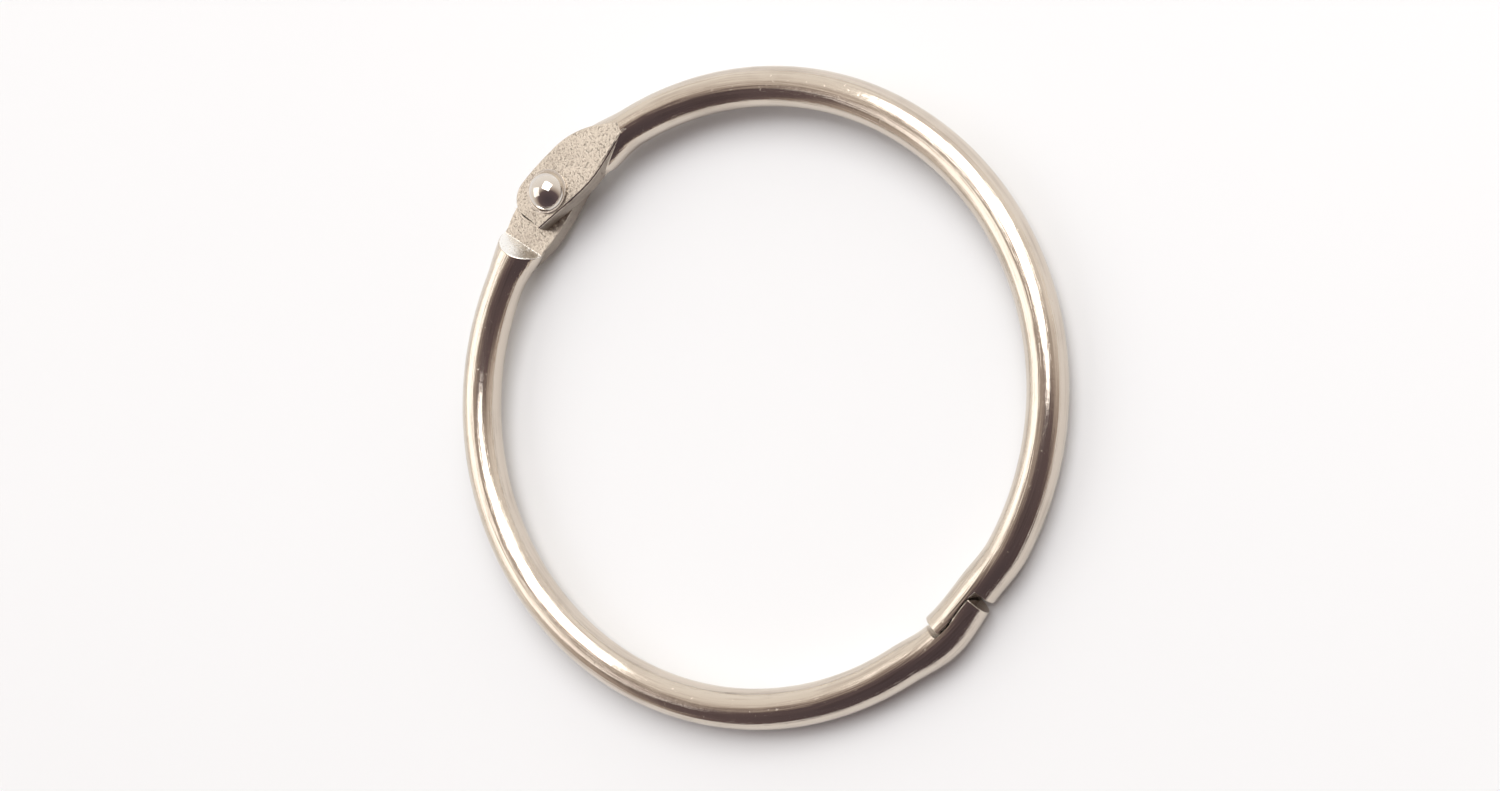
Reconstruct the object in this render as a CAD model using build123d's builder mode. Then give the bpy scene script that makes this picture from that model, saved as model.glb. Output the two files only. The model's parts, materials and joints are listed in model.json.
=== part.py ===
"""Hinged binder ring: two half rings of round wire and the rivet that joins them.

The ring lies in the XY plane with its centre at the origin. The hinge is at -X, its
rivet along Z, and the closure is at +X. The upper half ring runs through +Y, has the
upper hinge plate and the inner tongue. The lower half ring runs through -Y, has the
lower hinge plate and the outer tongue. All sizes are in millimetres.
"""

from build123d import *
from math import cos, degrees, pi, radians, sin, sqrt
import os

# Ring
inside_d = 50.0         # clear diameter inside the closed ring
wire_d = 3.5            # diameter of the round wire

# Hinge plates, coined flat from the end of each wire; places are measured from the rivet
plate_gap = 0.06        # running gap between the two plates
plate_sink = 0.10       # how far a plate's outer flat lies below the top of the wire
plate_end = 3.2         # rivet to the free end of the plate
plate_outside = 2.6     # rivet to the plate's edge on the outside of the ring
plate_inside = 2.3      # rivet to the plate's edge on the inside of the ring
round_start = 1.1       # rivet to where the rounding of the plate's outer end corner starts
end_outside = 0.3       # straight end edge: its end outside the wire's centreline
end_inside = 1.5        # straight end edge: its corner inside the wire's centreline
leaf_belly = 3.0        # rivet to the widest place of the leaf-shaped flat
leaf_half_width = 2.5   # half the width of the flat there
leaf_shoulder_half = 2.0  # half the width of the flat over the shoulder
leaf_tip = 9.0          # rivet to the leaf's tip on the round wire
shoulder = 5.5          # rivet to the foot of the shoulder on the mating side
shoulder_slope = 1.2    # length of the sloped face that rises to the full wire
shoulder_half = 2.25    # half the width of the flared wire at the shoulder
plate_edge = 0.25       # rounding of the outer flat's edge
corner_round = 0.4      # rounding of the plate's inner end corner, in plan

# Rivet
shank_d = 1.9
head_d = 3.6            # domed head on the upper plate
head_height = 1.25
rim_width = 0.2         # thin rim round the domed head
rim_height = 0.16
tail_d = 3.0            # domed head formed on the lower plate
tail_height = 1.1
rivet_running = 0.05    # radial clearance of the shank in the upper plate
rivet_seat = 0.01       # radial clearance of the shank in the lower plate
head_running = 0.03     # axial clearance under the upper head

# Closure: each wire ends in half a section, the two lie side by side and snap
lap_length = 5.2        # shoulder to shoulder along the wire
lap_gap = 0.10          # clearance between the two lap faces
snap_rise = 0.12        # height of the snap wave on each lap face
inner_tip_gap = 0.45    # inner tongue's tip to the shoulder that it faces
outer_tip_gap = 0.85    # outer tongue's tip to the shoulder that it faces
tongue_bulge = 0.35     # how far a tongue stands outside the wire's round contour
tip_bulge = 0.2         # the same at the tongue's tip
bulge_run = 4.2         # length over which the wire swells to the bulge
tip_round = 0.3         # rounding of the tongue's tip

# Worked out
wire_r = wire_d / 2
ring_r = (inside_d + wire_d) / 2
flat_z = wire_r - plate_sink
mating_z = plate_gap / 2
half_turn = pi * ring_r  # arc length from the rivet to the closure
lap_half = lap_length / 2
tip_half = sqrt(wire_r**2 - flat_z**2)  # half the width of the flat where it leaves the wire
clear = 3 * wire_d      # reach of a cutting block past the wire

INNER = -1              # a tongue on the inside of the ring
OUTER = 1               # a tongue on the outside of the ring

os.makedirs("parts", exist_ok=True)


def on_ring(along, out):
    """Point in plan, `along` mm from the rivet on the centreline and `out` mm outside it."""
    turn = radians(180) - along / ring_r
    return ((ring_r + out) * cos(turn), (ring_r + out) * sin(turn))


def across(along):
    """Plane across the wire: X points out of the ring, Y up, Z along the wire."""
    turn = radians(180) - along / ring_r
    return Plane(
        origin=(ring_r * cos(turn), ring_r * sin(turn), 0),
        x_dir=(cos(turn), sin(turn), 0),
        z_dir=(sin(turn), -cos(turn), 0),
    )


def hinge_plate(hole_r):
    """Leaf-shaped plate with its rivet hole, from the mating gap up to the outer flat."""
    with BuildPart() as plate:
        with BuildSketch(Plane.XY.offset(mating_z)) as outline:
            with BuildLine():
                outer_edge = Spline(
                    on_ring(-round_start, plate_outside),
                    on_ring(leaf_belly, leaf_half_width),
                    on_ring(shoulder, leaf_shoulder_half),
                    on_ring(leaf_tip, tip_half),
                )
                leaf_point = Line(outer_edge @ 1, on_ring(leaf_tip, -tip_half))
                inner_edge = Spline(
                    leaf_point @ 1,
                    on_ring(shoulder, -leaf_shoulder_half),
                    on_ring(leaf_belly, -leaf_half_width),
                    on_ring(0, -plate_inside),
                    on_ring(-plate_end, -end_inside),
                )
                end_edge = Line(inner_edge @ 1, on_ring(-plate_end, end_outside))
                TangentArc(outer_edge @ 0, end_edge @ 1, tangent=-(outer_edge % 0))
            make_face()
            corner = outline.vertices().sort_by_distance(inner_edge @ 1)[0]
            fillet(corner, corner_round)
        extrude(amount=flat_z - mating_z)
        fillet(plate.faces().sort_by(Axis.Z)[-1].edges(), plate_edge)
        with Locations((-ring_r, 0, 0)):
            Hole(hole_r)
    return plate.part


def half_ring(plate, tongue, tip_gap):
    """Half ring through +Y, its plate upwards: wire, coined hinge end, closure tongue."""
    wire_start = leaf_tip + tip_half
    wire_end = half_turn - lap_half - bulge_run
    tip_y = -(lap_half - tip_gap)
    lap_x = ring_r + tongue * lap_gap / 2
    with BuildPart() as half:
        with BuildSketch(across(wire_start)):
            Circle(wire_r)
        revolve(axis=Axis.Z, revolution_arc=-degrees((wire_end - wire_start) / ring_r))
        # the wire widens from round to its flared shoulder
        with BuildSketch(across(wire_start)):
            Circle(wire_r)
        with BuildSketch(across((wire_start + shoulder) / 2)):
            Ellipse((wire_r + shoulder_half) / 2, wire_r)
        with BuildSketch(across(shoulder)):
            Ellipse(shoulder_half, wire_r)
        with BuildSketch(across(shoulder - wire_r)):
            Ellipse(shoulder_half, wire_r)
        loft()
        # the wire swells to one side along the closure tongue
        swell = (
            (wire_end, 0),
            (wire_end + bulge_run / 2, tongue_bulge / 2),
            (wire_end + bulge_run, tongue_bulge),
            (half_turn + lap_half, tip_bulge),
        )
        for place, shift in swell:
            with BuildSketch(across(place)):
                with Locations((tongue * shift, 0)):
                    Circle(wire_r)
        loft()
        # the outer flat ends in a small step on the round wire
        with BuildSketch(across(leaf_tip)):
            with Locations((0, flat_z)):
                Rectangle(2 * clear, clear, align=(Align.CENTER, Align.MIN))
        extrude(amount=-2 * leaf_tip, mode=Mode.SUBTRACT)
        # the mating side is cut away up to the sloped shoulder
        with BuildSketch(Plane.YZ.offset(-ring_r)):
            Polygon(
                (-clear, mating_z),
                (shoulder, mating_z),
                (shoulder + shoulder_slope, -wire_r),
                (shoulder + shoulder_slope, -clear),
                (-clear, -clear),
                align=None,
            )
        extrude(amount=clear, both=True, mode=Mode.SUBTRACT)
        add(plate)
        # half the closure's section is cut away, up to the shoulder
        with BuildSketch(Plane.XY):
            with BuildLine():
                hollow = ThreePointArc(
                    (lap_x, lap_half),
                    (lap_x + tongue * snap_rise, lap_half / 2),
                    (lap_x, 0),
                )
                rise = ThreePointArc(
                    hollow @ 1,
                    (lap_x - tongue * snap_rise, -lap_half / 2),
                    (lap_x, -lap_half),
                )
                Polyline(
                    rise @ 1,
                    (lap_x, -clear),
                    (lap_x - tongue * clear, -clear),
                    (lap_x - tongue * clear, lap_half),
                    hollow @ 0,
                )
            make_face()
        extrude(amount=clear, both=True, mode=Mode.SUBTRACT)
        # the tongue's tip stops short of the other half's shoulder
        with BuildSketch(Plane.XY):
            with Locations((ring_r, tip_y)):
                Rectangle(2 * clear, clear, align=(Align.CENTER, Align.MAX))
        extrude(amount=clear, both=True, mode=Mode.SUBTRACT)
        tip_edges = half.edges().filter_by_position(Axis.X, 0, ring_r + clear)
        fillet(tip_edges.group_by(Axis.Y)[0], tip_round)
    return half.part


upper_plate = hinge_plate(shank_d / 2 + rivet_running)
lower_plate = hinge_plate(shank_d / 2 + rivet_seat)
inner_tongue_half = half_ring(upper_plate, INNER, inner_tip_gap)
outer_tongue_half = half_ring(lower_plate, OUTER, outer_tip_gap)

with BuildPart() as upper_half_ring:
    add(inner_tongue_half)

with BuildPart() as lower_half_ring:
    # turned over about the line from the closure to the hinge
    add(outer_tongue_half, rotation=(180, 0, 0))

with BuildPart() as hinge_rivet:
    with BuildSketch(Plane.XZ.move(Location((-ring_r, 0, 0)))):
        with BuildLine():
            head_z = flat_z + head_running
            dome_z = head_z + rim_height
            dome = TangentArc((0, dome_z + head_height), (head_d / 2, dome_z), tangent=(1, 0))
            tail = TangentArc((0, -flat_z - tail_height), (tail_d / 2, -flat_z), tangent=(1, 0))
            Polyline(
                dome @ 1,
                (head_d / 2 + rim_width, dome_z),
                (head_d / 2 + rim_width, head_z),
                (shank_d / 2, head_z),
                (shank_d / 2, -flat_z),
                tail @ 1,
            )
            Line(tail @ 0, dome @ 0)
        make_face()
    revolve(axis=Axis((-ring_r, 0, 0), (0, 0, 1)))

upper_half_ring.part.label = "upper_half_ring"
lower_half_ring.part.label = "lower_half_ring"
hinge_rivet.part.label = "hinge_rivet"

export_step(upper_half_ring.part, "parts/upper_half_ring.step")
export_step(lower_half_ring.part, "parts/lower_half_ring.step")
export_step(hinge_rivet.part, "parts/hinge_rivet.step")
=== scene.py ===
"""Looks of a hinged binder ring: two nickel-plated half rings and the domed rivet between them.

Each half ring is modelled in millimetres as a straight wire along -X, with its hinge at the
origin, so that its flats and cuts are simple. It is then bent round the ring, cut at the
closure and brought to metres. The rivet is lathed, and a small studio stands round them.
"""

import json
import logging
import math
from contextlib import contextmanager
from dataclasses import dataclass
from enum import Enum
from typing import Any, Callable, Iterator, Sequence

import bmesh
import bpy
from mathutils import Matrix, Vector


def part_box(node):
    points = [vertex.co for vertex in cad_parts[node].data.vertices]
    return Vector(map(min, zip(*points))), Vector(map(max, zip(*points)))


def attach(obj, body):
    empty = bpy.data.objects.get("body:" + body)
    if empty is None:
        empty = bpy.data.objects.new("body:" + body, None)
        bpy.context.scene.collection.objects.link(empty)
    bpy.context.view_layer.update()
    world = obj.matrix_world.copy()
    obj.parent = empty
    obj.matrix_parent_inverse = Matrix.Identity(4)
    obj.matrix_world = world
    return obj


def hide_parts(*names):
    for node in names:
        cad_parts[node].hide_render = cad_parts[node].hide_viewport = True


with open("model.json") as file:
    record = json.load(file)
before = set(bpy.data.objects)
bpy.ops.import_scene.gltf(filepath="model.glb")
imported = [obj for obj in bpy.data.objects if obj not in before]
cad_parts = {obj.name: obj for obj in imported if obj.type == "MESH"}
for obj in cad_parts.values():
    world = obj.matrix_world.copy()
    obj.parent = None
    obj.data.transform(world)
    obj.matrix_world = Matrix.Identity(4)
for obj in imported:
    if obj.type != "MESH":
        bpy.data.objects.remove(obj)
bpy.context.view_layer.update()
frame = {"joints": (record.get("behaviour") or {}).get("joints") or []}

LOG = logging.getLogger("binder_ring")
MM = 0.001
"""One millimetre in the frame's metres."""
SHARP = math.radians(30)
"""Angle between two faces past which their edge counts as sharp."""
ROUNDING_STEPS = 4
"""Segments across a rounded edge."""
Colour = tuple[float, float, float, float]
"""Red, green, blue and alpha."""


def ease(share: float) -> float:
    """Smooth step from 0 to 1.

    Args:
        share: Place on the way; values outside 0 to 1 are held there.

    Returns:
        The eased share.
    """
    held = min(1.0, max(0.0, share))
    return held * held * (3 - 2 * held)


# ---------------------------------------------------------------------------------------
# Bench work: Blender's own operators, used as by hand
# ---------------------------------------------------------------------------------------


def take(piece: bpy.types.Object) -> None:
    """Makes one object the only selected and active one.

    Args:
        piece: The object to take.
    """
    bpy.ops.object.select_all(action="DESELECT")
    piece.select_set(True)
    bpy.context.view_layer.objects.active = piece


@contextmanager
def editing(piece: bpy.types.Object, mode: str = "VERT") -> Iterator[None]:
    """Edit mode on one piece, left again at the end.

    Args:
        piece: The mesh to edit.
        mode: Select mode, VERT, EDGE or FACE.

    Returns:
        A context that yields nothing.
    """
    take(piece)
    bpy.ops.object.mode_set(mode="EDIT")
    bpy.ops.mesh.select_mode(type=mode)
    yield
    bpy.ops.object.mode_set(mode="OBJECT")


def pick_vertices(piece: bpy.types.Object, test: Callable[[Vector], bool]) -> None:
    """In edit mode, selects some vertices and nothing else.

    Args:
        piece: The mesh that is being edited.
        test: Says of a vertex's place whether it is selected.
    """
    bpy.ops.mesh.select_all(action="DESELECT")
    mesh = bmesh.from_edit_mesh(piece.data)
    for vertex in mesh.verts:
        vertex.select_set(test(vertex.co))
    mesh.select_flush(True)
    bmesh.update_edit_mesh(piece.data)


def modify(piece: bpy.types.Object, kind: str, **settings: Any) -> None:
    """Adds a modifier, sets it and applies it.

    Args:
        piece: The mesh to modify.
        kind: The modifier's type.
        **settings: Its properties by name.
    """
    take(piece)
    modifier = piece.modifiers.new(kind.title(), kind)
    for name, value in settings.items():
        setattr(modifier, name, value)
    bpy.ops.object.modifier_apply(modifier=modifier.name)


def combine(piece: bpy.types.Object, tool: bpy.types.Object, operation: str) -> None:
    """Joins `tool` to a piece or cuts it away, and removes it.

    Args:
        piece: The solid that is kept.
        tool: The solid that is used up.
        operation: UNION or DIFFERENCE.
    """
    modify(piece, "BOOLEAN", operation=operation, object=tool, solver="EXACT")
    bpy.data.objects.remove(tool)


def settle(piece: bpy.types.Object, scale: float = 1.0, **placing: Sequence[float]) -> None:
    """Moves, turns or scales a piece and applies that to its mesh.

    Args:
        piece: The mesh to place.
        scale: Size factor, applied last.
        **placing: `turn` as Euler angles in radians, `move` as an offset.
    """
    take(piece)
    piece.rotation_euler = placing.get("turn", (0, 0, 0))
    piece.location = placing.get("move", (0, 0, 0))
    piece.scale = (scale, scale, scale)
    bpy.ops.object.transform_apply(location=True, rotation=True, scale=True)


def close_normals(piece: bpy.types.Object) -> None:
    """Turns every face of a closed mesh outwards.

    Args:
        piece: The mesh to set right.
    """
    with editing(piece):
        bpy.ops.mesh.select_all(action="SELECT")
        bpy.ops.mesh.normals_make_consistent(inside=False)


def round_edges(piece: bpy.types.Object, width: float) -> None:
    """Rounds the sharp edges of a piece.

    Args:
        piece: The mesh to round.
        width: How far each rounding reaches from its edge.
    """
    modify(
        piece,
        "BEVEL",
        width=width,
        segments=ROUNDING_STEPS,
        limit_method="ANGLE",
        angle_limit=SHARP,
        use_clamp_overlap=False,
    )


def block(low: Vector, high: Vector) -> bpy.types.Object:
    """A cutting block.

    Args:
        low: Its lowest corner.
        high: Its highest corner.

    Returns:
        The block, with its place in its mesh.
    """
    bpy.ops.mesh.primitive_cube_add(size=1, location=(low + high) / 2)
    piece = bpy.context.object
    piece.scale = high - low
    bpy.ops.object.transform_apply(location=True, rotation=True, scale=True)
    return piece


def ladder_solid(rungs: Sequence[tuple[Vector, Vector]], height: float) -> bpy.types.Object:
    """A solid whose plan is a ladder of rungs, raised by `height`.

    Args:
        rungs: The two ends of each rung, in order along the ladder.
        height: How far the plan is extruded along Z.

    Returns:
        The closed solid, with its place in its mesh.
    """
    aside = 1000.0  # the grid starts off far from where its rungs go
    same_place = 1e-3
    bpy.ops.object.select_all(action="DESELECT")
    bpy.ops.mesh.primitive_grid_add(
        x_subdivisions=len(rungs) - 1, y_subdivisions=1, size=1, location=(0, aside, 0)
    )
    piece = bpy.context.object
    bpy.ops.object.transform_apply(location=True, rotation=False, scale=False)
    with editing(piece):
        for index, ends in enumerate(rungs):
            column = index / (len(rungs) - 1) - 0.5
            for side, end in zip((-0.5, 0.5), ends):
                start = Vector((column, aside + side, 0))
                pick_vertices(piece, lambda place: (place - start).length < same_place)
                bpy.ops.transform.translate(value=end - start)
        bpy.ops.mesh.select_all(action="SELECT")
        bpy.ops.mesh.extrude_region_move(TRANSFORM_OT_translate={"value": (0, 0, height)})
    close_normals(piece)
    return piece


# ---------------------------------------------------------------------------------------
# Sizes
# ---------------------------------------------------------------------------------------


@dataclass(frozen=True)
class RingSizes:
    """Sizes in millimetres that the frame gives."""

    ring_r: float
    wire_r: float
    rivet_low: float
    rivet_high: float
    rim_r: float

    @classmethod
    def from_frame(cls) -> "RingSizes":
        """Reads the sizes from the frame's boxes and its hinge.

        Returns:
            The ring's, wire's and rivet's main sizes.
        """
        hinge = frame["joints"][0]["pos_m"]
        half_low, half_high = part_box("upper_half_ring")
        rivet_low, rivet_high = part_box("hinge_rivet")
        return cls(
            ring_r=-hinge[0] / MM,
            wire_r=(half_high.z - half_low.z) / 2 / MM,
            rivet_low=rivet_low.z / MM,
            rivet_high=rivet_high.z / MM,
            rim_r=(rivet_high.x - rivet_low.x) / 2 / MM,
        )


SIZES = RingSizes.from_frame()


@dataclass(frozen=True)
class HingeSizes:
    """The coined end of a half ring, in millimetres from the rivet."""

    plate_gap: float = 0.06
    plate_sink: float = 0.10
    plate_end: float = 3.2
    plate_outside: float = 2.6
    round_start: float = 1.1
    end_outside: float = 0.3
    end_inside: float = 1.5
    leaf_belly: float = 3.0
    leaf_half_width: float = 2.5
    leaf_tip: float = 9.0
    shoulder: float = 5.5
    shoulder_slope: float = 1.2
    shoulder_half: float = 2.25
    root_depth: float = 0.5
    hole_r: float = 1.0

    @property
    def flat_z(self) -> float:
        """Height of the outer flat."""
        return SIZES.wire_r - self.plate_sink

    @property
    def tip_half(self) -> float:
        """Half the flat's width where it runs out on the round wire."""
        return math.sqrt(SIZES.wire_r**2 - self.flat_z**2)

    @property
    def round_from(self) -> float:
        """Place along the wire where it is fully round again."""
        return self.leaf_tip + self.tip_half

    def outside(self, along: float) -> float:
        """Offset of the flat's edge on the outside of the ring.

        Args:
            along: Place along the wire from the rivet.

        Returns:
            The offset from the wire's centreline.
        """
        if along > self.leaf_belly:
            return self.leaf(along)
        if along < -self.round_start:
            share = (-along - self.round_start) / (self.plate_end - self.round_start)
            drop = self.plate_outside - self.end_outside
            return self.end_outside + drop * math.sqrt(max(0.0, 1 - share * share))
        share = (along + self.round_start) / (self.leaf_belly + self.round_start)
        return self.plate_outside + (self.leaf_half_width - self.plate_outside) * ease(share)

    def inside(self, along: float) -> float:
        """Offset of the flat's edge on the inside of the ring.

        Args:
            along: Place along the wire from the rivet.

        Returns:
            The offset from the wire's centreline.
        """
        if along > self.leaf_belly:
            return self.leaf(along)
        share = (along + self.plate_end) / (self.leaf_belly + self.plate_end)
        swell = self.leaf_half_width - self.end_inside
        return self.end_inside + swell * math.sin(share * math.pi / 2)

    def leaf(self, along: float) -> float:
        """Half the width of the leaf-shaped flat beyond its belly.

        Args:
            along: Place along the wire from the rivet.

        Returns:
            Half the width.
        """
        share = (along - self.leaf_belly) / (self.leaf_tip - self.leaf_belly)
        return self.tip_half + (self.leaf_half_width - self.tip_half) * math.cos(
            share * math.pi / 2
        )

    def flare(self, along: float) -> float:
        """Half the wire's width as it widens from round to the shoulder."""
        share = (self.round_from - along) / (self.round_from - self.shoulder)
        return SIZES.wire_r + (self.shoulder_half - SIZES.wire_r) * ease(share)


class Tongue(Enum):
    """Which side of the ring a closure tongue lies on, as the sign of its offset."""

    INNER = -1
    OUTER = 1


@dataclass(frozen=True)
class ClosureSizes:
    """The lapped closure, in millimetres."""

    tongue: Tongue
    tip_gap: float
    lap_length: float = 5.2
    lap_gap: float = 0.10
    snap_rise: float = 0.12
    bulge: float = 0.35
    tip_bulge: float = 0.2
    bulge_run: float = 4.2

    @property
    def middle(self) -> float:
        """Place of the closure along the wire from the rivet."""
        return math.pi * SIZES.ring_r

    @property
    def lap_half(self) -> float:
        """Half the length of the lap."""
        return self.lap_length / 2

    def shift(self, along: float) -> float:
        """How far the wire stands to its tongue's side.

        Args:
            along: Place along the wire from the rivet.

        Returns:
            The offset, positive out of the ring.
        """
        swell = ease((along - self.middle + self.lap_half + self.bulge_run) / self.bulge_run)
        fall = ease((along - self.middle + self.lap_half) / self.lap_length)
        height = self.bulge * swell - (self.bulge - self.tip_bulge) * fall
        return self.tongue.value * height


# ---------------------------------------------------------------------------------------
# Finishes
# ---------------------------------------------------------------------------------------


class Value:
    """A shader socket that takes part in Python expressions."""

    def __init__(self, graph: "Graph", socket: bpy.types.NodeSocket) -> None:
        """Wraps one output socket of a graph."""
        self.graph = graph
        self.socket = socket

    def math(self, operation: str, *others: Any) -> "Value":
        """A Math node with this value as its first input.

        Args:
            operation: The node's operation.
            *others: Its further inputs, values or numbers.

        Returns:
            The node's result.
        """
        inputs = dict(enumerate((self, *others)))
        return self.graph.node("ShaderNodeMath", inputs, operation=operation)

    def clamp(self) -> "Value":
        """This value held between 0 and 1."""
        return self.graph.node("ShaderNodeClamp", {0: self})

    def __add__(self, other: Any) -> "Value":
        """This value plus another."""
        return self.math("ADD", other)

    __radd__ = __add__

    def __sub__(self, other: Any) -> "Value":
        """This value less another."""
        return self.math("SUBTRACT", other)

    def __rsub__(self, other: Any) -> "Value":
        """Another value less this one."""
        return (self * -1) + other

    def __mul__(self, other: Any) -> "Value":
        """This value times another."""
        return self.math("MULTIPLY", other)

    __rmul__ = __mul__

    def __truediv__(self, other: Any) -> "Value":
        """This value divided by another."""
        return self.math("DIVIDE", other)


class Graph:
    """A node tree that is written as expressions."""

    def __init__(self, tree: bpy.types.NodeTree) -> None:
        """Empties the tree and keeps it."""
        tree.nodes.clear()
        self.tree = tree

    def node(self, kind: str, inputs: dict, output: int | str = 0, **settings: Any) -> Value:
        """Adds one node.

        Args:
            kind: The node's type.
            inputs: Values, numbers or colours by socket name or index.
            output: Name or index of the output that is returned.
            **settings: Node properties, set before the inputs; `stops` fills a colour ramp.

        Returns:
            The chosen output, or the node's first input if it has no output.
        """
        made = self.tree.nodes.new(kind)
        stops = settings.pop("stops", None)
        for name, value in settings.items():
            setattr(made, name, value)
        if stops:
            ramp = made.color_ramp.elements
            while len(ramp) < len(stops):
                ramp.new(0.5)
            for element, (place, colour) in zip(ramp, stops):
                element.position = place
                element.color = colour
        for key, value in inputs.items():
            if isinstance(value, Value):
                self.tree.links.new(value.socket, made.inputs[key])
            else:
                made.inputs[key].default_value = value
        return Value(self, made.outputs[output] if made.outputs else made.inputs[0])

    def mix(self, share: Any, first: Any, second: Any) -> Value:
        """A colour between two colours."""
        return self.node("ShaderNodeMix", {0: share, 6: first, 7: second}, 2, data_type="RGBA")

    def noise(self, vector: Value, scale: float, detail: float, roughness: float = 0.5) -> Value:
        """Noise between 0 and 1 on a vector."""
        inputs = {"Vector": vector, "Scale": scale, "Detail": detail, "Roughness": roughness}
        return self.node("ShaderNodeTexNoise", inputs)


@dataclass(frozen=True)
class NickelFinish:
    """Nickel plate as one way of forming leaves it, save where a colour is painted highlight or
    painted shade. Lengths are in millimetres.

    Streaks follow the wire, clouds and grain lie all over it, and pits are where the grain
    falls under `pit_share`.
    """

    name: str
    bright: Colour
    dull: Colour
    roughness: float
    roughness_spread: float
    draw_depth: float
    pit_depth: float
    pit_size: float
    pit_share: float
    streak_tone: float = 0.0
    grain_tone: float = 0.0
    streaks_along: float = 0.1
    streaks_across: float = 4.0
    clouds_scale: float = 0.22
    clouds_middle: float = 0.45
    clouds_contrast: float = 2.2
    pit_edge: float = 9.0
    pit_dulling: float = 0.5
    pit_roughness: float = 0.12
    grain_depth: float = 0.5

    def make(self) -> bpy.types.Material:
        """Builds the material.

        Returns:
            A node material with drawn streaks along the wire, clouding and small pits.
        """
        material = bpy.data.materials.new(self.name)
        material.use_nodes = True
        graph = Graph(material.node_tree)
        place = graph.node("ShaderNodeTexCoord", {}, "Object")
        x = graph.node("ShaderNodeSeparateXYZ", {0: place}, "X") / MM
        y = graph.node("ShaderNodeSeparateXYZ", {0: place}, "Y") / MM
        z = graph.node("ShaderNodeSeparateXYZ", {0: place}, "Z") / MM
        # the ring unrolled: along the wire, across it in plan, and up
        along = y.math("ARCTAN2", x) * SIZES.ring_r
        across = (x * x + y * y).math("SQRT") - SIZES.ring_r
        wide = self.streaks_across
        drawn = graph.node(
            "ShaderNodeCombineXYZ", {0: along * self.streaks_along, 1: across * wide, 2: z * wide}
        )
        streaks = graph.noise(drawn, 1.0, 4.0, 0.6)
        clouds = graph.noise(place, self.clouds_scale / MM, 3.0)
        grain = graph.noise(place, 1.0 / (self.pit_size * MM), 3.0, 0.6)
        pits = ((self.pit_share - grain) * self.pit_edge).clamp()
        tone = (streaks - 0.5) * self.streak_tone + (grain - 0.5) * self.grain_tone
        clouding = (clouds - self.clouds_middle) * self.clouds_contrast
        dulling = (clouding + tone + pits * self.pit_dulling).clamp()
        colour = graph.mix(dulling, self.bright, self.dull)
        spread = (streaks + clouds - 1) * self.roughness_spread
        rough = self.roughness + spread + pits * self.pit_roughness
        pitted = grain * self.pit_depth * self.grain_depth
        height = streaks * self.draw_depth - pits * self.pit_depth + pitted
        normal = graph.node(
            "ShaderNodeBump", {"Height": height, "Distance": MM, "Strength": 1.0}, "Normal"
        )
        shader = graph.node(
            "ShaderNodeBsdfPrincipled",
            {"Base Color": colour, "Metallic": 1.0, "Roughness": rough.clamp(), "Normal": normal},
        )
        graph.node("ShaderNodeOutputMaterial", {"Surface": shader})
        return material


POLISHED = NickelFinish(
    name="nickel_polished_wire",
    bright=(0.69, 0.615, 0.53, 1),
    dull=(0.52, 0.45, 0.38, 1),
    roughness=0.12,
    roughness_spread=0.12,
    draw_depth=0.030,
    pit_depth=0.010,
    pit_size=0.45,
    pit_share=0.33,
    streak_tone=3.0,
)
COINED = NickelFinish(
    name="nickel_coined_flat",
    bright=(0.68, 0.61, 0.52, 1),
    dull=(0.34, 0.29, 0.245, 1),
    roughness=0.32,
    roughness_spread=0.14,
    draw_depth=0.006,
    pit_depth=0.09,
    pit_size=0.28,
    pit_share=0.42,
    grain_tone=5.0,
)
# The plate's steep side walls: rougher as sheared, and coloured much darker than nickel as painted
# shade on these sides.
SHEARED_PAINTED_SHADE = NickelFinish(
    name="nickel_wall_painted_shade",
    bright=(0.42, 0.365, 0.31, 1),
    dull=(0.24, 0.20, 0.17, 1),
    roughness=0.38,
    roughness_spread=0.14,
    draw_depth=0.02,
    pit_depth=0.05,
    pit_size=0.3,
    pit_share=0.42,
    streak_tone=2.0,
    grain_tone=1.5,
)
# The shoulder's slope: its near-white colour, far brighter than nickel, is a painted highlight for
# the bright horizon this sloped face reflects; its roughness and pits are the pressed face's own.
PRESSED_PAINTED_HIGHLIGHT = NickelFinish(
    name="nickel_shoulder_painted_highlight",
    bright=(0.95, 0.94, 0.91, 1),
    dull=(0.84, 0.82, 0.77, 1),
    roughness=0.26,
    roughness_spread=0.1,
    draw_depth=0.004,
    pit_depth=0.03,
    pit_size=0.3,
    pit_share=0.38,
)
DOMED = NickelFinish(
    name="nickel_domed_rivet",
    bright=(0.74, 0.69, 0.63, 1),
    dull=(0.58, 0.52, 0.46, 1),
    roughness=0.07,
    roughness_spread=0.06,
    draw_depth=0.0,
    pit_depth=0.012,
    pit_size=0.6,
    pit_share=0.32,
)


class HingeFace(Enum):
    """How a face of a half ring was formed, with the finish that this leaves; the shoulder's
    near-white colour is a painted highlight, and the walls' dark colour is partly painted shade.
    """

    WIRE = POLISHED
    FLAT = COINED
    # the side walls are coloured dark, partly as painted shade
    WALL = SHEARED_PAINTED_SHADE
    # the shoulder's slope is coloured near white as a painted highlight
    SHOULDER = PRESSED_PAINTED_HIGHLIGHT


# ---------------------------------------------------------------------------------------
# Pieces
# ---------------------------------------------------------------------------------------


@dataclass(frozen=True)
class Station:
    """One ring of vertices of a grown solid: its centre, and its width across and up."""

    centre: Vector
    across: float
    up: float


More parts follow.
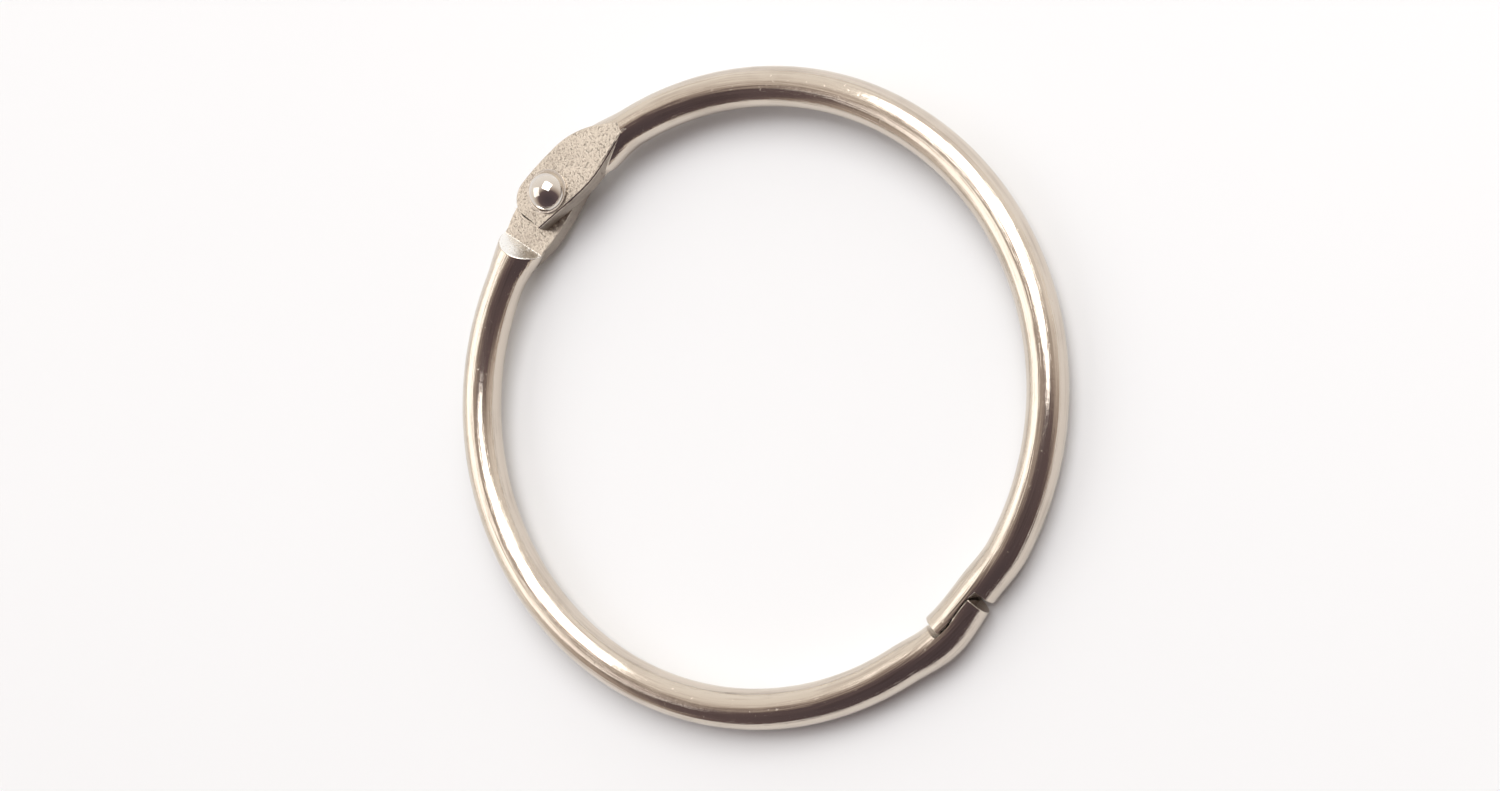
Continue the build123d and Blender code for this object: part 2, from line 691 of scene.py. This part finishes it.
def grow(
    first: Station, stations: Sequence[Station], turn: Sequence[float], sides: int
) -> bpy.types.Object:
    """Grows a closed solid from a disc, station by station, as by repeated extrusion.

    Args:
        first: The disc that the solid starts with.
        stations: The rings that follow, in order.
        turn: Euler angles that lay the disc across the way it grows.
        sides: Number of vertices round the solid.

    Returns:
        The closed solid, with its place in its mesh.
    """
    bpy.ops.object.select_all(action="DESELECT")
    bpy.ops.mesh.primitive_circle_add(
        vertices=sides, radius=1, fill_type="NGON", location=first.centre, rotation=turn
    )
    piece = bpy.context.object
    bpy.ops.object.transform_apply(location=True, rotation=True, scale=True)
    with editing(piece):
        bpy.ops.mesh.select_all(action="SELECT")
        bpy.ops.transform.resize(
            value=(first.across, first.across, first.up), center_override=first.centre
        )
        last = first
        for station in stations:
            step = station.centre - last.centre
            bpy.ops.mesh.extrude_region_move(TRANSFORM_OT_translate={"value": step})
            across = station.across / last.across
            bpy.ops.transform.resize(
                value=(across, across, station.up / last.up), center_override=station.centre
            )
            last = station
    close_normals(piece)
    return piece


@dataclass
class HalfRing:
    """One half of the ring: a wire with a coined hinge plate and a closure tongue.

    Steps, clearances and roundings are in millimetres, angles in degrees.
    """

    node: str
    body: str
    hinge: HingeSizes
    closure: ClosureSizes
    turned_over: bool
    sides: int = 96
    fine_step: float = 0.2
    coarse_step: float = 0.5
    end_zone: float = 9.0
    clear: float = 10.0
    plate_edge: float = 0.2
    cut_edge: float = 0.07
    plate_end_steps: int = 8
    leaf_steps: int = 44
    lap_steps: int = 32
    hole_sides: int = 48
    cut_scrap: float = 0.01
    rounding_scrap: float = 0.001
    flat_angle: float = 0.5
    smooth_angle: float = 24.0
    level: float = 0.02

    def build(self) -> bpy.types.Object:
        """Models the half ring and puts it where its CAD node is.

        Returns:
            The finished piece, riding on its body.
        """
        piece = self.straight_wire()
        combine(piece, self.above_flat(), "DIFFERENCE")
        combine(piece, self.plate(), "UNION")
        combine(piece, self.mating_side(), "DIFFERENCE")
        self.bend(piece)
        combine(piece, self.rivet_hole(), "DIFFERENCE")
        combine(piece, self.lap_side(), "DIFFERENCE")
        combine(piece, self.past_tip(), "DIFFERENCE")
        self.clean(piece)
        self.round_cuts(piece)
        self.smooth(piece)
        self.dress(piece)
        if self.turned_over:
            settle(piece, turn=(math.pi, 0, 0))
        settle(piece, scale=MM)
        piece.name = self.node + "_nickel"
        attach(piece, self.body)
        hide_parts(self.node)
        return piece

    def straight_wire(self) -> bpy.types.Object:
        """The wire before bending, flared at the hinge and swelling at the closure.

        Returns:
            A closed straight rod along -X.
        """
        start = self.hinge.shoulder - SIZES.wire_r
        end = self.closure.middle + self.closure.lap_half
        places = [start]
        while places[-1] < end:
            near_end = places[-1] < start + self.end_zone or places[-1] > end - self.end_zone
            places.append(places[-1] + (self.fine_step if near_end else self.coarse_step))
        stations = [
            Station(
                Vector((-place, -self.closure.shift(place), 0)),
                self.hinge.flare(place),
                SIZES.wire_r,
            )
            for place in places
        ]
        return grow(stations[0], stations[1:], (0, -math.pi / 2, 0), self.sides)

    def plate(self) -> bpy.types.Object:
        """The leaf-shaped plate, before bending.

        Returns:
            A closed solid with rounded edges, from inside the wire up to the outer flat.
        """
        hinge = self.hinge
        reach = hinge.plate_end - hinge.round_start
        places = []
        for index in range(self.plate_end_steps, 0, -1):
            share = index / self.plate_end_steps
            turned = math.sin(share * math.pi / 2)
            places.append((-hinge.round_start - reach * turned, -hinge.round_start - reach * share))
        run = hinge.leaf_tip + hinge.round_start
        for index in range(self.leaf_steps + 1):
            place = -hinge.round_start + run * index / self.leaf_steps
            places.append((place, place))
        rungs = [
            (
                Vector((-outer, -hinge.outside(outer), -hinge.root_depth)),
                Vector((-inner, hinge.inside(inner), -hinge.root_depth)),
            )
            for outer, inner in places
        ]
        piece = ladder_solid(rungs, hinge.flat_z + hinge.root_depth)
        round_edges(piece, self.plate_edge)
        return piece

    def above_flat(self) -> bpy.types.Object:
        """The block that levels the outer flat.

        Returns:
            The cutting block.
        """
        low = Vector((-self.hinge.leaf_tip, -self.clear, self.hinge.flat_z))
        return block(low, Vector((self.clear, self.clear, self.clear)))

    def mating_side(self) -> bpy.types.Object:
        """The block that is cut from the mating side, with a sloped end for the shoulder.

        Returns:
            The cutting block.
        """
        low = Vector((-self.hinge.shoulder, -self.clear, -self.clear))
        piece = block(low, Vector((self.clear, self.clear, self.hinge.plate_gap / 2)))
        lean = self.hinge.shoulder_slope / SIZES.wire_r * self.clear
        with editing(piece):
            pick_vertices(piece, lambda place: place.x < 0 and place.z < 0)
            bpy.ops.transform.translate(value=(-lean, 0, 0))
        return piece

    def bend(self, piece: bpy.types.Object) -> None:
        """Bends the straight wire round the ring and puts the hinge at -X.

        Args:
            piece: The straight half ring.
        """
        reach = [vertex.co.x for vertex in piece.data.vertices]
        angle = (max(reach) - min(reach)) / SIZES.ring_r
        modify(piece, "SIMPLE_DEFORM", deform_method="BEND", deform_axis="Z", angle=angle)
        settle(piece, move=(0, -SIZES.ring_r, 0))
        settle(piece, turn=(0, 0, -math.pi / 2))

    def rivet_hole(self) -> bpy.types.Object:
        """The drill for the rivet's hole.

        Returns:
            A cylinder at the hinge.
        """
        bpy.ops.object.select_all(action="DESELECT")
        bpy.ops.mesh.primitive_cylinder_add(
            vertices=self.hole_sides,
            radius=self.hinge.hole_r,
            depth=self.clear,
            location=(-SIZES.ring_r, 0, 0),
        )
        piece = bpy.context.object
        bpy.ops.object.transform_apply(location=True, rotation=True, scale=True)
        return piece

    def lap_side(self) -> bpy.types.Object:
        """The solid that halves the wire at the closure, with the snap wave on its face.

        Returns:
            The cutting solid.
        """
        closure = self.closure
        side = closure.tongue.value
        lap_x = SIZES.ring_r + side * closure.lap_gap / 2
        rungs = []
        for index in range(self.lap_steps + 1):
            y = closure.lap_half - closure.lap_length * index / self.lap_steps
            wave = math.sin(math.pi * y / closure.lap_half) * closure.snap_rise
            rungs.append((y, lap_x + side * wave))
        rungs.append((-self.clear, lap_x))
        ends = [
            (Vector((x, y, -self.clear)), Vector((lap_x - side * self.clear, y, -self.clear)))
            for y, x in rungs
        ]
        return ladder_solid(ends, 2 * self.clear)

    def past_tip(self) -> bpy.types.Object:
        """The block that ends the tongue short of the other half's shoulder.

        Returns:
            The cutting block.
        """
        tip_y = self.closure.tip_gap - self.closure.lap_half
        low = Vector((SIZES.ring_r - self.clear, -self.clear, -self.clear))
        return block(low, Vector((SIZES.ring_r + self.clear, tip_y, self.clear)))

    def clean(self, piece: bpy.types.Object) -> None:
        """Merges doubled vertices and the scraps of flat faces that the cuts left.

        Args:
            piece: The cut half ring.
        """
        with editing(piece):
            bpy.ops.mesh.select_all(action="SELECT")
            bpy.ops.mesh.remove_doubles(threshold=self.cut_scrap)
            bpy.ops.mesh.dissolve_limited(angle_limit=math.radians(self.flat_angle))

    def round_cuts(self, piece: bpy.types.Object) -> None:
        """Rounds the edges that the cuts left, all but those on the plate's own rounding.

        Args:
            piece: The cleaned half ring.
        """
        rounding_foot = self.hinge.flat_z - self.plate_edge - 0.05
        with editing(piece, "EDGE"):
            bpy.ops.mesh.select_all(action="DESELECT")
            mesh = bmesh.from_edit_mesh(piece.data)
            for edge in mesh.edges:
                middle = (edge.verts[0].co + edge.verts[1].co) / 2
                rounded = middle.x < 0 and middle.z > rounding_foot
                edge.select_set(edge.calc_face_angle(0.0) > SHARP and not rounded)
            bmesh.update_edit_mesh(piece.data)
            bpy.ops.mesh.bevel(
                offset=self.cut_edge,
                segments=ROUNDING_STEPS,
                affect="EDGES",
                clamp_overlap=False,
            )
            bpy.ops.mesh.select_all(action="SELECT")
            bpy.ops.mesh.remove_doubles(threshold=self.rounding_scrap)

    def smooth(self, piece: bpy.types.Object) -> None:
        """Shades the wire and the roundings smooth, and keeps the flats flat.

        Args:
            piece: The rounded half ring.
        """
        take(piece)
        bpy.ops.object.shade_smooth_by_angle(angle=math.radians(self.smooth_angle))
        modify(piece, "WEIGHTED_NORMAL", keep_sharp=True, weight=60)

    def dress(self, piece: bpy.types.Object) -> None:
        """Gives the wire its polish, and each formed face of the hinge its own finish, with a
        painted highlight on the shoulder's slope and painted shade on the side walls.

        Args:
            piece: The shaded half ring, not yet turned over.
        """
        piece.data.materials.clear()
        for kind in HingeFace:
            piece.data.materials.append(finish(kind.value))
        with editing(piece, "FACE"):
            for index, kind in enumerate(HingeFace):
                bpy.ops.mesh.select_all(action="DESELECT")
                mesh = bmesh.from_edit_mesh(piece.data)
                for face in mesh.faces:
                    face.select_set(self.kind_of(face) is kind)
                bmesh.update_edit_mesh(piece.data)
                piece.active_material_index = index
                bpy.ops.object.material_slot_assign()

    def kind_of(self, face: bmesh.types.BMFace) -> HingeFace:
        """How a face of the bent half ring was formed, from its place and normal.

        Args:
            face: A face of the half ring, not yet turned over.

        Returns:
            The kind of face.
        """
        steep, nearly_up, towards_hinge = 0.2, 0.95, -0.5
        top = self.hinge.flat_z - self.level
        centre = face.calc_center_median()
        along = (math.pi - abs(math.atan2(centre.y, centre.x))) * SIZES.ring_r
        if centre.x > 0 or (centre.y > 0 and along > self.hinge.round_from):
            return HingeFace.WIRE
        # the plate's rounded edge is polished like the wire
        if centre.z > top - self.plate_edge and steep <= face.normal.z < nearly_up:
            return HingeFace.WIRE
        if centre.z > top:
            return HingeFace.FLAT
        # steep side walls, which get the painted shade
        if centre.z > self.hinge.flat_z / 4 and abs(face.normal.z) < steep:
            return HingeFace.WALL
        # the slope that falls back towards the hinge gets the painted highlight
        slopes_back = face.normal.z < 0 and face.normal.y < towards_hinge
        if along > self.hinge.shoulder and slopes_back:
            return HingeFace.SHOULDER
        return HingeFace.FLAT if along < self.hinge.shoulder else HingeFace.WIRE


@dataclass
class Rivet:
    """The hinge's rivet: shank, domed head with a thin rim, and a smaller formed tail.

    Sizes are in millimetres, the angle in degrees.
    """

    node: str
    body: str
    shank_r: float = 0.95
    rim_height: float = 0.16
    rim_width: float = 0.2
    tail_r: float = 1.5
    tail_height: float = 1.1
    head_running: float = 0.03
    sides: int = 96
    dome_steps: int = 20
    edge: float = 0.04
    pole_reach: float = 0.01
    smooth_angle: float = 35.0

    def dome(self, radius: float, height: float) -> list[tuple[float, float]]:
        """Profile of a dome from its foot to near its pole.

        Args:
            radius: Radius of the foot.
            height: Height of the pole over the foot.

        Returns:
            Pairs of radius and height.
        """
        ball = (radius**2 + height**2) / (2 * height)
        opening = math.asin(min(1.0, radius / ball))
        profile = []
        for index in range(self.dome_steps):
            angle = opening * (1 - index / self.dome_steps)
            profile.append((ball * math.sin(angle), height - ball * (1 - math.cos(angle))))
        return profile

    def build(self) -> bpy.types.Object:
        """Lathes the rivet and puts it where its CAD node is.

        Returns:
            The finished piece, riding on its body.
        """
        tail_z = SIZES.rivet_low + self.tail_height
        head_z = -tail_z + self.head_running
        rim_top = head_z + self.rim_height
        tail = [(r, tail_z - h) for r, h in reversed(self.dome(self.tail_r, self.tail_height))]
        rim = [
            (self.shank_r, tail_z),
            (self.shank_r, head_z),
            (SIZES.rim_r - self.edge, head_z),
            (SIZES.rim_r, head_z + self.edge),
            (SIZES.rim_r, rim_top - self.edge),
            (SIZES.rim_r - self.edge, rim_top),
        ]
        crown = SIZES.rivet_high - rim_top
        head = [(r, rim_top + h) for r, h in self.dome(SIZES.rim_r - self.rim_width, crown)]
        profile = [
            Station(Vector((-SIZES.ring_r, 0, z)), radius, 1) for radius, z in tail + rim + head
        ]
        piece = grow(profile[0], profile[1:], (0, 0, 0), self.sides)
        with editing(piece):
            for pole in (SIZES.rivet_low, SIZES.rivet_high):
                pick_vertices(piece, lambda place: abs(place.z - pole) < self.pole_reach)
                bpy.ops.mesh.merge(type="CENTER")
        piece.data.materials.clear()
        piece.data.materials.append(finish(DOMED))
        take(piece)
        bpy.ops.object.shade_smooth_by_angle(angle=math.radians(self.smooth_angle))
        settle(piece, scale=MM)
        piece.name = self.node + "_nickel"
        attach(piece, self.body)
        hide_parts(self.node)
        return piece


_finishes: dict[str, bpy.types.Material] = {}
"""Materials made so far, by name."""


def finish(kind: NickelFinish) -> bpy.types.Material:
    """The material of a finish, made once.

    Args:
        kind: The finish.

    Returns:
        Its material.
    """
    if kind.name not in _finishes:
        _finishes[kind.name] = kind.make()
    return _finishes[kind.name]


# ---------------------------------------------------------------------------------------
# Studio
# ---------------------------------------------------------------------------------------


@dataclass(frozen=True)
class Panel:
    """A square area light that faces the ring: where it is, its side and its power.

    Angles are in degrees, with azimuth counted from +X, lengths in metres, power in watts.
    """

    name: str
    azimuth: float
    elevation: float
    distance: float
    size: float
    power: float


@dataclass
class Studio:
    """The pale table, the soft lights and the camera.

    The view turns the ring so that its hinge is up to the left: `roll_from` is the ring
    direction that points up in the view. `fill` is the share of the view's height that the
    ring would take up seen from straight above. Angles are in degrees, and `table_size` is
    in metres.
    """

    camera_azimuth: float = 34.8
    camera_elevation: float = 64.5
    roll_from: float = 134.2
    lens: float = 60.0
    frame_width: int = 1500
    frame_height: int = 791
    fill: float = 0.84
    table_size: float = 3.0
    table_clearance: float = 0.02
    table_dark: Colour = (0.875, 0.895, 0.915, 1)
    table_light: Colour = (0.905, 0.925, 0.945, 1)
    dark_azimuth: float = -30.0
    dark_elevation: float = 38.0
    room: tuple[tuple[float, Colour], ...] = (
        (0.0, (1.10, 1.08, 1.05, 1)),
        (0.56, (0.92, 0.86, 0.80, 1)),
        (0.73, (0.50, 0.42, 0.37, 1)),
        (0.82, (0.15, 0.11, 0.115, 1)),
        (1.0, (0.09, 0.07, 0.08, 1)),
    )
    panels: tuple[Panel, ...] = (
        Panel("key", azimuth=113, elevation=60, distance=0.9, size=0.7, power=5.6),
        Panel("fill", azimuth=225, elevation=40, distance=1.2, size=0.8, power=2.2),
    )

    def direction(self, azimuth: float, elevation: float) -> Vector:
        """Unit vector from the ring, with azimuth counted from +X."""
        a, e = math.radians(azimuth), math.radians(elevation)
        return Vector((math.cos(a) * math.cos(e), math.sin(a) * math.cos(e), math.sin(e)))

    def build(self) -> None:
        """Sets up the table, the room, the lights and the camera."""
        self.table()
        self.world()
        for panel in self.panels:
            self.hang(panel)
        self.camera()
        bpy.context.scene.view_settings.view_transform = "Standard"

    def camera(self) -> None:
        """Looks down on the ring, with the hinge at the upper left."""
        data = bpy.data.cameras.new("camera")
        data.lens = self.lens
        camera = bpy.data.objects.new("camera", data)
        bpy.context.scene.collection.objects.link(camera)
        focal = self.lens / data.sensor_width * self.frame_width
        across = 2 * (SIZES.ring_r + SIZES.wire_r) * MM
        distance = across * focal / (self.fill * self.frame_height)
        back = self.direction(self.camera_azimuth, self.camera_elevation)
        up = self.direction(self.roll_from, 0)
        up = (up - back * up.dot(back)).normalized()
        right = up.cross(back)
        camera.matrix_world = Matrix.Translation(back * distance) @ Matrix(
            (right, up, back)
        ).transposed().to_4x4()
        bpy.context.scene.camera = camera

    def table(self) -> None:
        """A pale table that the tail of the rivet and the far side of the wire rest on."""
        rise = SIZES.wire_r + SIZES.rivet_low
        slope = -rise / (2 * SIZES.ring_r)
        bpy.ops.object.select_all(action="DESELECT")
        bpy.ops.mesh.primitive_plane_add(size=self.table_size)
        table = bpy.context.object
        table.name = "table"
        middle = ((SIZES.rivet_low - SIZES.wire_r) / 2 - self.table_clearance) * MM
        table.rotation_euler = (0, -math.atan(slope), 0)
        table.location = (0, 0, middle)
        bpy.ops.object.transform_apply(location=True, rotation=True, scale=True)
        material = bpy.data.materials.new("pale_table")
        material.use_nodes = True
        graph = Graph(material.node_tree)
        place = graph.node("ShaderNodeTexCoord", {}, "Object")
        tint = graph.mix(graph.noise(place, 12.0, 2.0), self.table_dark, self.table_light)
        shader = graph.node("ShaderNodeBsdfPrincipled", {"Base Color": tint, "Roughness": 0.6})
        graph.node("ShaderNodeOutputMaterial", {"Surface": shader})
        table.data.materials.append(material)

    def world(self) -> None:
        """Soft room light: pale all round, with a dark side where nothing is lit.

        `room` gives the colour from the side away from the dark to its middle.
        """
        world = bpy.data.worlds.new("room")
        world.use_nodes = True
        graph = Graph(world.node_tree)
        place = graph.node("ShaderNodeTexCoord", {}, "Generated")
        dark = graph.node(
            "ShaderNodeVectorMath",
            {0: place, 1: self.direction(self.dark_azimuth, self.dark_elevation)},
            "Value",
            operation="DOT_PRODUCT",
        )
        ramp = graph.node("ShaderNodeValToRGB", {0: dark * 0.5 + 0.5}, stops=self.room)
        graph.node(
            "ShaderNodeOutputWorld",
            {"Surface": graph.node("ShaderNodeBackground", {"Color": ramp, "Strength": 1.0})},
        )
        bpy.context.scene.world = world

    def hang(self, panel: Panel) -> None:
        """Hangs one light so that it faces the ring.

        Args:
            panel: The light.
        """
        data = bpy.data.lights.new(panel.name, "AREA")
        data.shape = "SQUARE"
        data.size = panel.size
        data.energy = panel.power
        way = self.direction(panel.azimuth, panel.elevation)
        light = bpy.data.objects.new(panel.name, data)
        bpy.context.scene.collection.objects.link(light)
        light.location = way * panel.distance
        light.rotation_mode = "QUATERNION"
        light.rotation_quaternion = way.to_track_quat("Z", "Y")


def main() -> None:
    logging.basicConfig(level=logging.INFO, format="%(name)s: %(message)s")
    Studio().build()
    hinge = HingeSizes()
    pieces = [
        HalfRing(
            node="upper_half_ring",
            body="swinging_half",
            hinge=hinge,
            closure=ClosureSizes(Tongue.INNER, tip_gap=0.45),
            turned_over=False,
        ),
        HalfRing(
            node="lower_half_ring",
            body="fixed_half",
            hinge=hinge,
            # this tongue runs out thin, so its tip is drawn in
            closure=ClosureSizes(Tongue.OUTER, tip_gap=0.85, tip_bulge=-0.25),
            turned_over=True,
        ),
        Rivet(node="hinge_rivet", body="fixed_half"),
    ]
    for maker in pieces:
        piece = maker.build()
        LOG.info("%s: %d faces", piece.name, len(piece.data.polygons))


if __name__ == "__main__":
    main()
